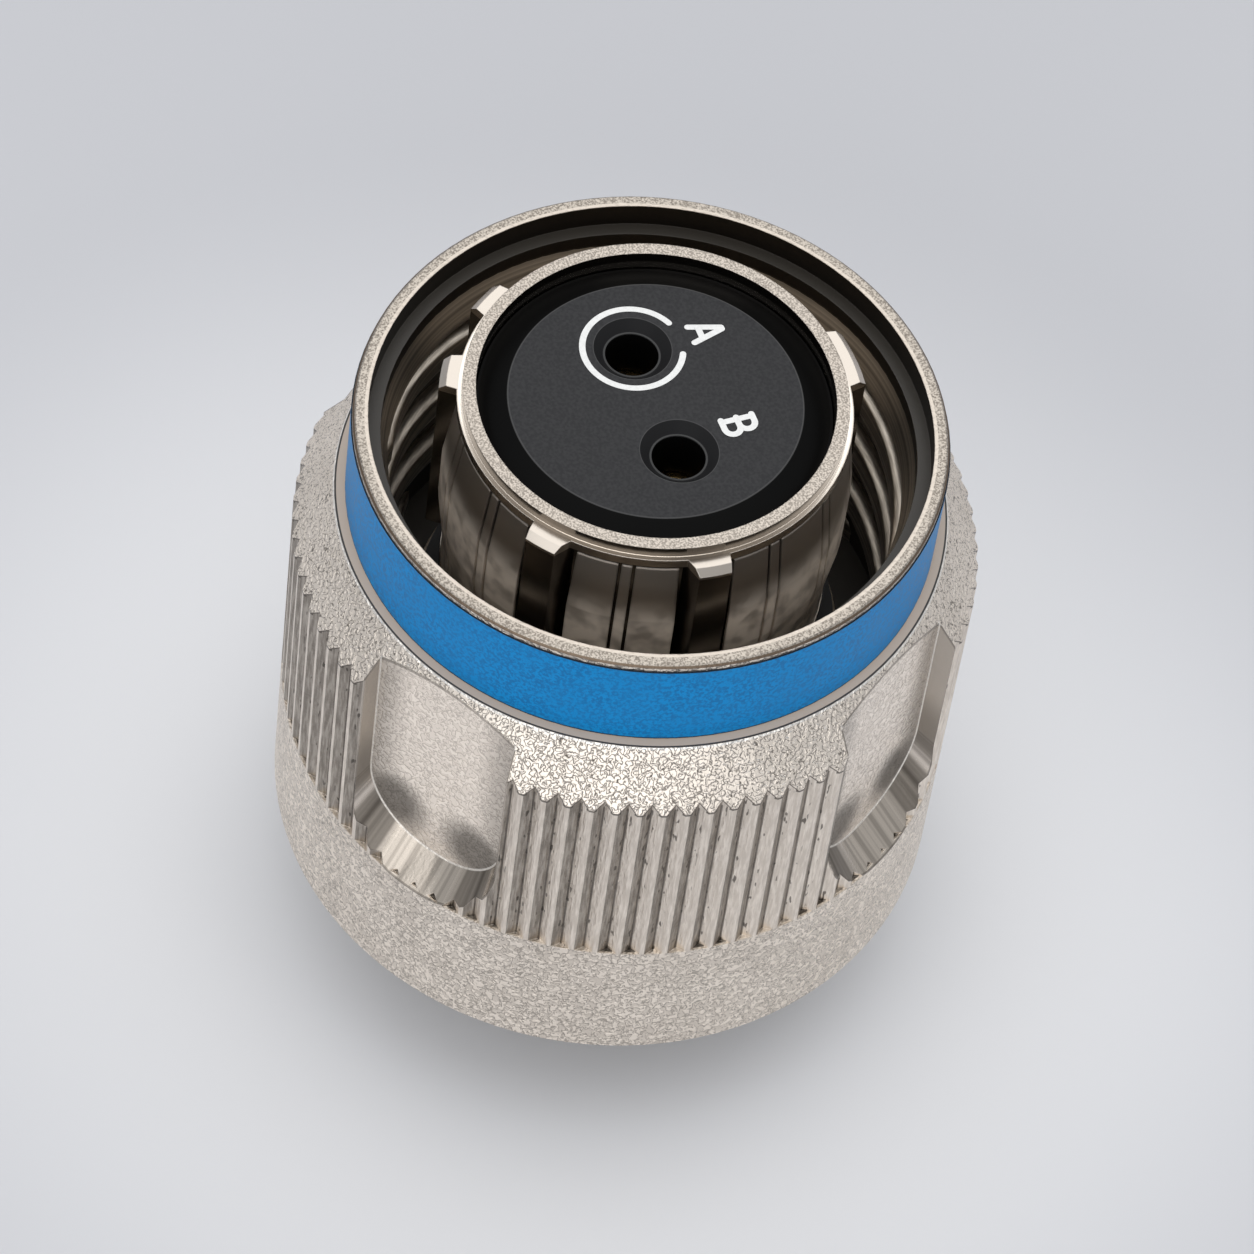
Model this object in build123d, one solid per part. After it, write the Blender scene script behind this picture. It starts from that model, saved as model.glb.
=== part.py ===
from build123d import *
import math
import os

# Circular connector plug with a triple-start coupling nut, all sizes in millimetres.
# +Z points out of the mating face and +Y passes through the master key.
# The origin is the middle of the rear end, on which the plug stands.

# Fits
running_gap = 0.05
float_gap = 0.1
seat_gap = 0.02
contact_gap = 0.07

# Barrel of the shell, from the insert cavity outwards
cavity_radius = 6.4
nose_wall = 0.47
nose_height = 0.45
nose_stand = 1.75
barrel_wall = 0.45
barrel_ring_step = 0.2
barrel_ring_height = 0.4
key_height = 0.63
key_chamfer = 0.25
land_step = 0.27
land_length = 1.7
barrel_foot = 2.6

# Keys: azimuth, width at the root, width at the crest and sideways lean of the crest
master_key = (90.0, 2.6, 2.3, 0.0)
minor_keys = [
    (-5.0, 1.6, 1.15, 0.12),
    (-51.0, 1.6, 1.15, -0.12),
    (-117.0, 1.6, 1.3, 0.0),
    (-146.0, 1.6, 1.3, 0.0),
]

# Grounding spring round the barrel
spring_sheet = 0.15
spring_bow = 0.33
spring_band_height = 1.3
spring_seat_height = 1.6
finger_pitch = 22.5
finger_phase = 17.0
finger_slit = 0.12
finger_slit_pair = 4.0
finger_bow_share = 0.35
key_window_gap = 0.2
finger_tip_gap = 0.12

# Flange, ratchet and rear of the shell
flange_step = 1.05
flange_lip = 1.0
ratchet_wall = 0.7
ratchet_width = 2.1
ratchet_teeth = 48
ratchet_depth = 0.3
rear_body_step = 0.4
rear_projection = 5.4
accessory_radius = 7.5
accessory_chamfer = 0.3
accessory_inset = 0.8
accessory_teeth = 24
accessory_tooth_depth = 0.7
rear_bore_step = 0.3

# Coupling nut, inside, as lengths from the mouth backwards
coupling_gap = 1.92
mouth_step = 0.5
relief_depth = 1.0
thread_length = 11.0
shoulder_thickness = 1.2
spring_room = 1.2
skirt_length = 2.4

# Coupling nut, outside
lip_wall = 0.55
lip_chamfer = 0.12
lip_height = 0.3
band_width = 3.9
band_thickness = 0.25
band_stand = 0.05
ledge_width = 0.38
cone_length = 2.15
knurl_length = 8.9
knurl_teeth = 92
knurl_depth = 0.24
knurl_crest_trim = 0.06
nut_wall = 2.3
rear_chamfer = 0.4
grip_pockets = 4
pocket_azimuth = 32.8
pocket_floor_width = 6.0
pocket_mouth_width = 6.9
pocket_corner = 2.8
pocket_rear_slope = 1.05
pocket_floor_stand = 0.18
pocket_overrun = 0.1

# Pieces that hold the nut on the shell
washer_thickness = 0.7
bow_height = 1.2
bow_sheet = 0.3
ring_thickness = 1.0
ring_groove_depth = 0.6
ring_gap_angle = 16.0
ring_width = 2.3
detent_springs = 3
detent_sheet = 0.25
detent_nose_radius = 0.42
detent_end_gap = 0.12
detent_pin_radius = 0.3
detent_pin_inset = 0.45
detent_pin_depth = 0.7

# Seal behind the barrel
seal_height = 0.8
seal_wall = 0.65

# Insert
cavity_offset = 2.4
face_sink = 0.35
face_radius = 5.25
face_cone_drop = 0.45
face_cone_inset = 0.1
front_insulator_length = 9.4
insert_stop_step = 4.0
rear_insulator_length = 8.5
grommet_inset = 0.8
entry_radius = 0.96
entry_length = 2.0
countersink_radius = 1.4
countersink_lip_radius = 1.05
countersink_depth = 0.35
grommet_hole_radius = 1.45
grommet_web_radius = 0.8
grommet_web_height = 1.4

# Socket contacts with their hoods and retention clips
pin_radius = 0.794
socket_wall = 0.32
socket_length = 6.0
socket_slit = 0.2
hood_wall = 0.16
hood_end_gap = 1.1
shoulder_radius = 1.6
shoulder_length = 1.0
crimp_radius = 1.3
crimp_length = 8.6
crimp_well_radius = 0.8
crimp_well_depth = 6.0
inspection_hole_radius = 0.3
clip_sheet = 0.16
clip_length = 4.4
clip_tine_length = 2.6
clip_tines = 4
clip_slit = 0.3

# Radii worked out from the sizes above
nose_radius = cavity_radius + nose_wall
barrel_radius = cavity_radius + barrel_wall
barrel_ring_radius = barrel_radius + barrel_ring_step
key_radius = barrel_ring_radius + key_height
land_radius = key_radius + land_step
flange_radius = land_radius + flange_step
ratchet_seat_radius = flange_radius - ratchet_wall
rear_body_radius = ratchet_seat_radius - rear_body_step
rear_bore_radius = cavity_radius + rear_bore_step
shoulder_bore_radius = land_radius + running_gap
chamber_radius = flange_radius + spring_room
knurl_radius = chamber_radius + nut_wall
thread_root_radius = key_radius + coupling_gap
mouth_radius = thread_root_radius + mouth_step
lip_radius = mouth_radius + lip_wall
band_radius = lip_radius + band_stand
band_seat_radius = band_radius - band_thickness
ledge_radius = band_radius + ledge_width
pocket_floor = ledge_radius + pocket_floor_stand
ring_groove_radius = chamber_radius + ring_groove_depth
seal_radius = barrel_ring_radius + seal_wall
insert_radius = cavity_radius - running_gap
insert_flange_radius = rear_bore_radius - running_gap
socket_radius = pin_radius + socket_wall
hood_bore_radius = socket_radius + seat_gap
hood_radius = hood_bore_radius + hood_wall
hood_cavity_radius = hood_radius + contact_gap
clip_bore_radius = shoulder_radius + contact_gap
clip_radius = clip_bore_radius + clip_sheet
clip_cavity_radius = clip_radius + seat_gap
contact_exit_radius = crimp_radius + contact_gap

# Depths below the nut's mouth, from the mouth backwards
shoulder_front = relief_depth + thread_length
shoulder_rear = shoulder_front + shoulder_thickness
flange_front = shoulder_rear + float_gap
ratchet_front = flange_front + flange_lip
ratchet_rear = ratchet_front + ratchet_width
washer_front = ratchet_rear + running_gap
washer_rear = washer_front + washer_thickness
bow_front = washer_rear + seat_gap
ring_front = bow_front + bow_height + seat_gap
ring_rear = ring_front + ring_thickness
nut_length = ring_rear + skirt_length
band_front = lip_height
band_rear = band_front + band_width
knurl_front = band_rear + cone_length
knurl_rear = knurl_front + knurl_length
pocket_rear = knurl_rear + pocket_overrun
barrel_ring_front = nose_height - nose_stand
barrel_ring_rear = barrel_ring_front + barrel_ring_height
land_front = flange_front - land_length
spring_seat_rear = land_front - seal_height - barrel_foot
key_rear = spring_seat_rear - spring_seat_height
rear_body_end = nut_length - accessory_inset
face_depth = face_sink - nose_stand
insert_joint = face_depth + front_insulator_length
insert_stop_depth = insert_joint + insert_stop_step
grommet_front = insert_joint + rear_insulator_length

# Heights above the rear end
mouth_height = nut_length + rear_projection
insert_rear_depth = mouth_height - grommet_inset


def level(depth):
    """Height of a level that lies at a depth below the nut's mouth."""
    return mouth_height - depth


def turned(*profile):
    """Body turned about the main axis, from (radius, depth) corners."""
    corners = [(radius, level(depth)) for radius, depth in profile]
    return revolve(Plane.XZ * make_face(Polyline(*corners, close=True)), Axis.Z)


def tube(inner, outer, front, rear):
    """Plain tube on the main axis between two depths."""
    return turned((inner, front), (outer, front), (outer, rear), (inner, rear))


def rod(radius, front, rear):
    """Plain round bar on the main axis between two depths."""
    height = rear - front
    return Pos(0, 0, level(rear)) * extrude(Circle(radius), amount=height)


def polar(radius, azimuth):
    """Point in the XY plane from a radius and an azimuth in degrees."""
    turn = math.radians(azimuth)
    return (radius * math.cos(turn), radius * math.sin(turn))


def toothed_face(crest_radius, valley_radius, teeth):
    """Star-shaped face with a crest at azimuth 0."""
    pitch = 360 / teeth
    points = []
    for number in range(teeth):
        points.append(polar(crest_radius, number * pitch))
        points.append(polar(valley_radius, (number + 0.5) * pitch))
    return make_face(Polyline(*points, close=True))


def shell_key(azimuth, root_width, crest_width, lean):
    """Long key on the barrel, with its front outer edge chamfered."""
    inner = barrel_radius - barrel_wall / 2
    corners = [
        (inner, -root_width / 2),
        (barrel_radius, -root_width / 2),
        (key_radius, lean - crest_width / 2),
        (key_radius, lean + crest_width / 2),
        (barrel_radius, root_width / 2),
        (inner, root_width / 2),
    ]
    length = key_rear - barrel_ring_front
    bar = extrude(make_face(Polyline(*corners, close=True)), amount=length)
    bar = Pos(0, 0, level(key_rear)) * bar
    bar &= turned(
        (0, barrel_ring_front),
        (key_radius - key_chamfer, barrel_ring_front),
        (key_radius, barrel_ring_front + key_chamfer),
        (key_radius, key_rear),
        (0, key_rear),
    )
    return Rot(0, 0, azimuth) * bar


def accessory_notches():
    """Tooth gaps round the rear edge of the shell's body."""
    half_angle = 360 / accessory_teeth / 4
    reach = rear_body_radius / math.cos(math.radians(half_angle)) + seat_gap
    wedge = make_face(
        Polyline(
            polar(accessory_radius, 0),
            polar(reach, -half_angle),
            polar(reach, half_angle),
            close=True,
        )
    )
    notch = Pos(0, 0, level(rear_body_end)) * extrude(wedge, amount=accessory_tooth_depth)
    turns = range(accessory_teeth)
    return [Rot(0, 0, 360 * turn / accessory_teeth) * notch for turn in turns]


def make_plug_shell():
    """One turned shell: nose, barrel with keys, flange, body and accessory end."""
    end = mouth_height
    shell = turned(
        (cavity_radius, -nose_stand),
        (nose_radius, -nose_stand),
        (nose_radius, barrel_ring_front),
        (barrel_ring_radius, barrel_ring_front),
        (barrel_ring_radius, barrel_ring_rear),
        (barrel_radius, barrel_ring_rear),
        (barrel_radius, spring_seat_rear),
        (barrel_ring_radius, spring_seat_rear),
        (barrel_ring_radius, land_front),
        (land_radius, land_front),
        (land_radius, flange_front),
        (flange_radius, flange_front),
        (flange_radius, ratchet_front),
        (ratchet_seat_radius, ratchet_front),
        (ratchet_seat_radius, ratchet_rear),
        (rear_body_radius, ratchet_rear),
        (rear_body_radius, rear_body_end),
        (accessory_radius, rear_body_end),
        (accessory_radius, end - accessory_chamfer),
        (accessory_radius - accessory_chamfer, end),
        (rear_bore_radius, end),
        (rear_bore_radius, insert_stop_depth),
        (cavity_radius, insert_stop_depth),
    )
    for key in [master_key] + minor_keys:
        shell += shell_key(*key)
    return shell - accessory_notches()


def make_ratchet_ring():
    """Toothed ring pressed on the shell behind the flange."""
    teeth = toothed_face(flange_radius, flange_radius - ratchet_depth, ratchet_teeth)
    ring = extrude(teeth - Circle(ratchet_seat_radius), amount=ratchet_width)
    return Pos(0, 0, level(ratchet_rear)) * ring


def make_grounding_spring():
    """Springy sheet sleeve: a closed band with bowed fingers between the keys."""
    inner = barrel_radius + seat_gap
    outer = inner + spring_sheet
    tip = barrel_ring_rear + finger_tip_gap
    rear = spring_seat_rear - seat_gap
    root = rear - spring_band_height
    reach = finger_bow_share * (root - tip)
    sleeve = turned(
        (inner, rear),
        (outer, rear),
        (outer, root),
        (outer + spring_bow, root - reach),
        (outer + spring_bow, tip + reach),
        (outer, tip),
        (inner, tip),
        (inner + spring_bow, tip + reach),
        (inner + spring_bow, root - reach),
        (inner, root),
    )
    for azimuth, root_width, _, _ in [master_key] + minor_keys:
        sleeve -= spring_gap(azimuth, root_width + 2 * key_window_gap, tip, root)
    for number in range(round(360 / finger_pitch)):
        azimuth = finger_phase + number * finger_pitch
        if clear_of_keys(azimuth):
            for side in (-1, 1):
                turn = azimuth + side * finger_slit_pair / 2
                sleeve -= spring_gap(turn, finger_slit, tip, root)
    return sleeve


def clear_of_keys(azimuth):
    """True where a slit at this azimuth leaves a whole finger beside every key."""
    for key_azimuth, root_width, _, _ in [master_key] + minor_keys:
        apart = abs((azimuth - key_azimuth + 180) % 360 - 180)
        half_window = (root_width / 2 + key_window_gap) / barrel_radius
        if apart < math.degrees(half_window) + finger_pitch / 5:
            return False
    return True


def spring_gap(azimuth, width, tip, root):
    """Upright cutter through one side of the spring, from its root past its tip."""
    reach = barrel_ring_radius + 2 * spring_bow
    height = (root - tip) * 1.1
    block = Box(reach, width, height, align=(Align.MIN, Align.CENTER, Align.MIN))
    return Rot(0, 0, azimuth) * Pos(0, 0, level(root)) * block


def make_shell_seal_ring():
    """Rubber ring on which the mating shell bottoms."""
    return tube(barrel_ring_radius, seal_radius, land_front - seal_height, land_front)


def knurl_grooves():
    """Cutter for the straight knurl: all that lies outside a star, open at the front."""
    valley = knurl_radius - knurl_depth
    crest = knurl_radius + knurl_crest_trim
    star = toothed_face(crest, valley, knurl_teeth)
    rim = Circle(knurl_radius + knurl_depth)
    cutter = extrude(rim - star, amount=knurl_rear - band_rear)
    return Pos(0, 0, level(knurl_rear)) * cutter


def pocket_outline(rear, width):
    """Outline of a thumb pocket from the ledge to its rear, with round rear corners."""
    outline = Rectangle(rear - band_rear, width, align=(Align.MIN, Align.CENTER))
    return fillet(outline.vertices().sort_by(Axis.X)[-2:], pocket_corner)


def grip_pocket(azimuth):
    """Cutter for one thumb pocket: flat floor, sloping walls, round rear corners, open front."""
    height = knurl_radius - pocket_floor
    floor = pocket_outline(pocket_rear - pocket_rear_slope, pocket_floor_width)
    mouth = Pos(0, 0, height) * pocket_outline(pocket_rear, pocket_mouth_width)
    block = loft([floor, mouth]) + extrude(mouth, amount=knurl_depth)
    upright = Rot(0, 90, 0) * block
    return Rot(0, 0, azimuth) * Pos(pocket_floor, 0, level(band_rear)) * upright


def nut_blank():
    """Turned blank of the nut, with the relief, shoulder, spring chamber and groove."""
    return turned(
        (mouth_radius, 0),
        (lip_radius - lip_chamfer, 0),
        (lip_radius, lip_chamfer),
        (lip_radius, band_front),
        (band_seat_radius, band_front),
        (band_seat_radius, band_rear),
        (ledge_radius, band_rear),
        (knurl_radius, knurl_front),
        (knurl_radius, nut_length - rear_chamfer),
        (knurl_radius - rear_chamfer, nut_length),
        (chamber_radius, nut_length),
        (chamber_radius, ring_rear + seat_gap),
        (ring_groove_radius, ring_rear + seat_gap),
        (ring_groove_radius, ring_front - seat_gap),
        (chamber_radius, ring_front - seat_gap),
        (chamber_radius, shoulder_rear),
        (shoulder_bore_radius, shoulder_rear),
        (shoulder_bore_radius, shoulder_front),
        (thread_root_radius, shoulder_front),
        (thread_root_radius, relief_depth),
        (mouth_radius, relief_depth),
    )


def make_coupling_nut():
    """Coupling nut: knurled grip with pockets outside, threaded socket inside."""
    nut = nut_blank() - knurl_grooves()
    nut -= [grip_pocket(pocket_azimuth + 360 * k / grip_pockets) for k in range(grip_pockets)]
    return nut - detent_pins()


def make_colour_band():
    """Coloured band that fills the groove behind the nut's mouth."""
    return tube(band_seat_radius, band_radius, band_front, band_rear)


def detent_azimuths():
    """Azimuth of the nose of each detent spring."""
    return [90 + 360 * number / detent_springs for number in range(detent_springs)]


def detent_pin_place():
    """Radius at which the pins between the detent springs stand."""
    return chamber_radius - detent_pin_inset


def detent_half_angle():
    """Angle from a detent spring's nose to its end, just short of the next pin."""
    clear = (detent_pin_radius + detent_end_gap) / detent_pin_place()
    return 180 / detent_springs - math.degrees(clear)


def detent_pins():
    """Upright pins, one between each two detent springs."""
    pin = rod(detent_pin_radius, shoulder_rear - detent_pin_depth, ratchet_rear - seat_gap)
    pins = []
    for middle in detent_azimuths():
        x, y = polar(detent_pin_place(), middle + 180 / detent_springs)
        pins.append(Pos(x, y, 0) * pin)
    return pins


def make_detent_spring(azimuth):
    """Leaf spring bowed towards the ratchet, with a round nose in its middle."""
    nose_middle = flange_radius + running_gap + detent_nose_radius
    outer_middle = (nose_middle + detent_sheet / 2, 0)
    inner_middle = (nose_middle - detent_sheet / 2, 0)
    outer_end = chamber_radius - seat_gap
    inner_end = outer_end - detent_sheet
    half = detent_half_angle()
    with BuildSketch() as section:
        with BuildLine():
            ThreePointArc(polar(outer_end, -half), outer_middle, polar(outer_end, half))
            Line(polar(outer_end, half), polar(inner_end, half))
            ThreePointArc(polar(inner_end, half), inner_middle, polar(inner_end, -half))
            Line(polar(inner_end, -half), polar(outer_end, -half))
        make_face()
        with Locations((nose_middle, 0)):
            Circle(detent_nose_radius)
    width = ratchet_width - 2 * float_gap
    leaf = Pos(0, 0, level(ratchet_rear - float_gap)) * extrude(section.sketch, amount=width)
    return Rot(0, 0, azimuth) * leaf


def make_thrust_washer():
    """Flat washer that pushes the shell forwards as the nut is screwed on."""
    inner = rear_body_radius + float_gap
    return tube(inner, chamber_radius - running_gap, washer_front, washer_rear)


def make_bowed_washer():
    """Spring washer bent about one line, which takes up the end float."""
    inner = rear_body_radius + 2 * float_gap
    outer = chamber_radius - float_gap
    ends = level(bow_front + bow_height)
    crown = level(bow_front)
    with BuildLine() as outline:
        ThreePointArc((-outer, ends + bow_sheet), (0, crown), (outer, ends + bow_sheet))
        Line((outer, ends + bow_sheet), (outer, ends))
        ThreePointArc((outer, ends), (0, crown - bow_sheet), (-outer, ends))
        Line((-outer, ends), (-outer, ends + bow_sheet))
    strip = extrude(Plane.XZ * make_face(outline.line), amount=outer, both=True)
    return strip & tube(inner, outer, bow_front, bow_front + bow_height)


def make_retaining_ring():
    """Split ring in the groove of the nut."""
    outer = ring_groove_radius - seat_gap
    ring = tube(outer - ring_width, outer, ring_front, ring_rear)
    width = 2 * outer * math.sin(math.radians(ring_gap_angle / 2))
    gap = Box(outer * 1.1, width, ring_thickness * 2, align=(Align.MIN, Align.CENTER, Align.CENTER))
    return ring - Pos(0, 0, level((ring_front + ring_rear) / 2)) * gap


def at_cavities(shape):
    """One copy of a shape in each contact cavity, A at -X and B at +X."""
    return [Pos(side * cavity_offset, 0, 0) * shape for side in (-1, 1)]


def make_front_insulator():
    """Hard front insulator with countersunk pin entries and socket cavities."""
    body = turned(
        (0, face_depth),
        (face_radius, face_depth),
        (insert_radius - face_cone_inset, face_depth + face_cone_drop),
        (insert_radius, face_depth + face_cone_drop),
        (insert_radius, insert_joint),
        (0, insert_joint),
    )
    entry_end = face_depth + countersink_depth + entry_length
    cavity = turned(
        (0, face_depth),
        (countersink_radius, face_depth),
        (countersink_lip_radius, face_depth + countersink_depth),
        (entry_radius, face_depth + countersink_depth),
        (entry_radius, entry_end),
        (hood_cavity_radius, entry_end),
        (hood_cavity_radius, insert_joint),
        (0, insert_joint),
    )
    return body - at_cavities(cavity)


def make_rear_insulator():
    """Hard rear insulator that holds the retention clips."""
    body = turned(
        (0, insert_joint),
        (insert_radius, insert_joint),
        (insert_radius, insert_stop_depth + seat_gap),
        (insert_flange_radius, insert_stop_depth + seat_gap),
        (insert_flange_radius, grommet_front),
        (0, grommet_front),
    )
    clip_end = insert_joint + shoulder_length + clip_length + seat_gap
    cavity = turned(
        (0, insert_joint),
        (clip_cavity_radius, insert_joint),
        (clip_cavity_radius, clip_end),
        (contact_exit_radius, clip_end),
        (contact_exit_radius, grommet_front),
        (0, grommet_front),
    )
    return body - at_cavities(cavity)


def make_grommet():
    """Rubber wire seal with a narrow web in each of its holes."""
    body = rod(insert_flange_radius, grommet_front, insert_rear_depth)
    contact_end = insert_joint + shoulder_length + crimp_length
    web_front = (contact_end + insert_rear_depth - grommet_web_height) / 2
    hole = rod(grommet_hole_radius, grommet_front, insert_rear_depth)
    hole -= tube(
        grommet_web_radius, grommet_hole_radius, web_front, web_front + grommet_web_height
    )
    return body - at_cavities(hole)


def socket_front_depth():
    """Depth of the open end of the sockets."""
    return face_depth + countersink_depth + entry_length + float_gap


def make_contact():
    """Socket contact on the main axis: slit socket, shoulder and crimp barrel."""
    front = socket_front_depth() + float_gap
    tail = insert_joint + shoulder_length + crimp_length
    bore_end = front + socket_length
    contact = turned(
        (pin_radius, front),
        (socket_radius, front),
        (socket_radius, insert_joint),
        (shoulder_radius, insert_joint),
        (shoulder_radius, insert_joint + shoulder_length),
        (crimp_radius, insert_joint + shoulder_length),
        (crimp_radius, tail),
        (crimp_well_radius, tail),
        (crimp_well_radius, tail - crimp_well_depth),
        (0, tail - crimp_well_depth),
        (0, bore_end),
        (pin_radius, bore_end),
    )
    slit = Box(2 * shoulder_radius, socket_slit, socket_length - socket_wall)
    slit_middle = front + (socket_length - socket_wall) / 2
    contact -= Pos(0, 0, level(slit_middle)) * slit
    hole_depth = tail - crimp_well_depth + 2 * inspection_hole_radius
    hole = Rot(0, 90, 0) * Cylinder(inspection_hole_radius, crimp_radius * 2)
    return contact - Pos(crimp_radius, 0, level(hole_depth)) * hole


def make_contact_hood():
    """Thin sleeve that guards the slit end of a socket."""
    rear = insert_joint - hood_end_gap
    return tube(hood_bore_radius, hood_radius, socket_front_depth(), rear)


def make_retention_clip():
    """Sprung sleeve whose tines close in behind the contact's shoulder."""
    front = insert_joint + shoulder_length
    tine_front = front + seat_gap
    tine_rear = tine_front + clip_tine_length
    rear = front + clip_length
    tip = crimp_radius + contact_gap
    clip = turned(
        (tip, tine_front),
        (tip + clip_sheet, tine_front),
        (clip_radius, tine_rear),
        (clip_radius, rear),
        (clip_bore_radius, rear),
        (clip_bore_radius, tine_rear),
    )
    slit = Box(3 * clip_radius, clip_slit, clip_tine_length)
    slit = Pos(0, 0, level(tine_front + clip_tine_length / 2)) * slit
    for number in range(clip_tines // 2):
        clip -= Rot(0, 0, 360 * number / clip_tines) * slit
    return clip


def write(shape, node):
    """Writes one node as solids only."""
    solids = shape if isinstance(shape, list) else [shape]
    found = [solid for part in solids for solid in part.solids()]
    export_step(found[0] if len(found) == 1 else Compound(children=found), f"parts/{node}.step")


def main():
    os.makedirs("parts", exist_ok=True)
    write(make_plug_shell(), "plug_shell")
    write(make_ratchet_ring(), "ratchet_ring")
    write(make_grounding_spring(), "grounding_spring")
    write(make_shell_seal_ring(), "shell_seal_ring")
    write(make_front_insulator(), "front_insulator")
    write(make_rear_insulator(), "rear_insulator")
    write(make_grommet(), "grommet")
    for letter, side in (("a", -1), ("b", 1)):
        place = Pos(side * cavity_offset, 0, 0)
        write(place * make_contact(), f"contact_{letter}")
        write(place * make_contact_hood(), f"contact_hood_{letter}")
        write(place * make_retention_clip(), f"retention_clip_{letter}")
    write(make_coupling_nut(), "coupling_nut")
    write(make_colour_band(), "colour_band")
    for number, azimuth in enumerate(detent_azimuths(), start=1):
        write(make_detent_spring(azimuth), f"detent_spring_{number}")
    write(detent_pins(), "detent_spring_pins")
    write(make_thrust_washer(), "thrust_washer")
    write(make_bowed_washer(), "bowed_washer")
    write(make_retaining_ring(), "retaining_ring")


main()
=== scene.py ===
import math

import bpy
from mathutils import Matrix, Vector


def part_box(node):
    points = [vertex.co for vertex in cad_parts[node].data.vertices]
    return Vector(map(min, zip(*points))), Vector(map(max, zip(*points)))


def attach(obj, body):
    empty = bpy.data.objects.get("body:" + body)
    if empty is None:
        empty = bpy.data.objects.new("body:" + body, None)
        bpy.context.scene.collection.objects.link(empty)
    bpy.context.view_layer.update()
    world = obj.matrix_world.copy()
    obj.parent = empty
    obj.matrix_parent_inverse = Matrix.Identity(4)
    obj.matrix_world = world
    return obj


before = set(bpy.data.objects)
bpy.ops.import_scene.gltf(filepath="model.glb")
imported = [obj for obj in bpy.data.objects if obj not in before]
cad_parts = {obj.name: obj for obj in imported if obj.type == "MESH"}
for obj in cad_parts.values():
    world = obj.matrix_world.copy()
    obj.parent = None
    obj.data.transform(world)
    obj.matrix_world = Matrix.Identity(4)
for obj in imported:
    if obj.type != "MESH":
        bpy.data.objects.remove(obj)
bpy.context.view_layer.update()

# Lengths are named in millimetres, and MM turns them into metres.
MM = 0.001

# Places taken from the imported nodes
NUT = [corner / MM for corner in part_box("coupling_nut")]
BAND = [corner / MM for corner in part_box("colour_band")]
INSERT = [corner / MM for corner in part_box("front_insulator")]
CONTACT = [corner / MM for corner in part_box("contact_b")]
MOUTH = NUT[1].z
FACE = INSERT[1].z
CAVITY_OFFSET = (CONTACT[0].x + CONTACT[1].x) / 2
BAND_RADIUS = BAND[1].x
BAND_FRONT = MOUTH - BAND[1].z
BAND_REAR = MOUTH - BAND[0].z
KNURL_RADIUS = NUT[1].x

# Nut: lip, ledge, cone and knurl, as the shading follows them
LEDGE_WIDTH = 0.38
LIP_INSET = 0.05
LEDGE_RADIUS = BAND_RADIUS + LEDGE_WIDTH
CONE_LENGTH = 2.15
KNURL_LENGTH = 8.9
KNURL_DEPTH = 0.24
MOUTH_RADIUS = 10.1
LIP_RADIUS = BAND_RADIUS - LIP_INSET
CONE_REAR = BAND_REAR + CONE_LENGTH
KNURL_REAR = CONE_REAR + KNURL_LENGTH

# Thumb pockets, whose outline widens from the floor to the knurl
POCKET_AZIMUTH = 32.8
POCKET_STAND = 0.18
POCKET_OVERRUN = 0.1
POCKET_FLOOR = LEDGE_RADIUS + POCKET_STAND
POCKET_HEIGHT = KNURL_RADIUS - POCKET_FLOOR
POCKET_REAR = KNURL_REAR + POCKET_OVERRUN
POCKET_REAR_SLOPE = 1.05
POCKET_FLOOR_WIDTH = 6.0
POCKET_MOUTH_WIDTH = 6.9
POCKET_CORNER = 2.8

# Painted shade on a pocket floor, a dark spot in each rear corner: its middle, sideways and to the rear
# from the centre of the corner's rounding, and the radii out to which it is full and where it ends
SHADE_SPOT_SIDEWAYS = 1.7
SHADE_SPOT_REARWARD = 1.2
SHADE_SPOT_FULL = 0.7
SHADE_SPOT_END = 2.1

# Shell and insert
FACE_SINK = 0.35
NOSE_HEIGHT = 0.45
NOSE_RADIUS = 7.0
RING_HEIGHT = 0.4
RING_MARGIN = 0.02
NOSE_TOP = FACE + FACE_SINK
RING_FRONT_LEVEL = NOSE_TOP - NOSE_HEIGHT + RING_MARGIN
RING_REAR_LEVEL = RING_FRONT_LEVEL - RING_HEIGHT
DISC_RADIUS = 5.25
COUNTERSINK_RADIUS = 1.4
ENTRY_RADIUS = 0.96

# Painted highlight: a pale, dull band round the grounding sleeve, as depths below the mouth
SLEEVE_HIGHLIGHT_FROM = 0.6
SLEEVE_HIGHLIGHT_MIDDLE = 2.6

# Lead-in ring in front of the coupling thread, as depths and its smallest radius
LEAD_IN_FRONT = 1.55
LEAD_IN_CREST = 2.6
LEAD_IN_REAR = 3.0
LEAD_IN_RADIUS = 9.25
LEAD_IN_STEP = 0.15

# Coupling thread: three right-hand starts
THREAD_STARTS = 3
THREAD_PITCH = 2.7
THREAD_FRONT = 2.9
THREAD_REAR = 11.9
THREAD_CREST_RADIUS = 9.1
THREAD_ROOT_RADIUS = 9.63
THREAD_CREST_WIDTH = 1.1
THREAD_ROOT_WIDTH = 1.7
THREAD_ROUNDING = 0.1
THREAD_AZIMUTH = 92.0
THREAD_LEVEL = 3.9
THREAD_STEPS = 160
THREAD_RUNOUT = 4

# Markings on the insert
MARK_RAISE = 0.012
MARK_LAYER = 0.004
RING_RADIUS = 1.8
RING_STROKE = 0.23
RING_GAP_FROM = 66.0
RING_GAP_TO = 114.0
LETTER_HEIGHT = 1.16
LETTER_STROKE = 0.23
LETTER_A_PLACE = (-2.4, 2.8)
LETTER_B_PLACE = (1.95, 2.45)

# Floor's painted pool of light: palest inside the inner radius from the object's axis, plain beyond the
# outer
GLOW_INNER = 15.0
GLOW_OUTER = 38.0
FLOOR_HALF_WIDTH = 2500.0

# Studio, in metres
SOFTBOX_DISTANCE = 0.5

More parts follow.
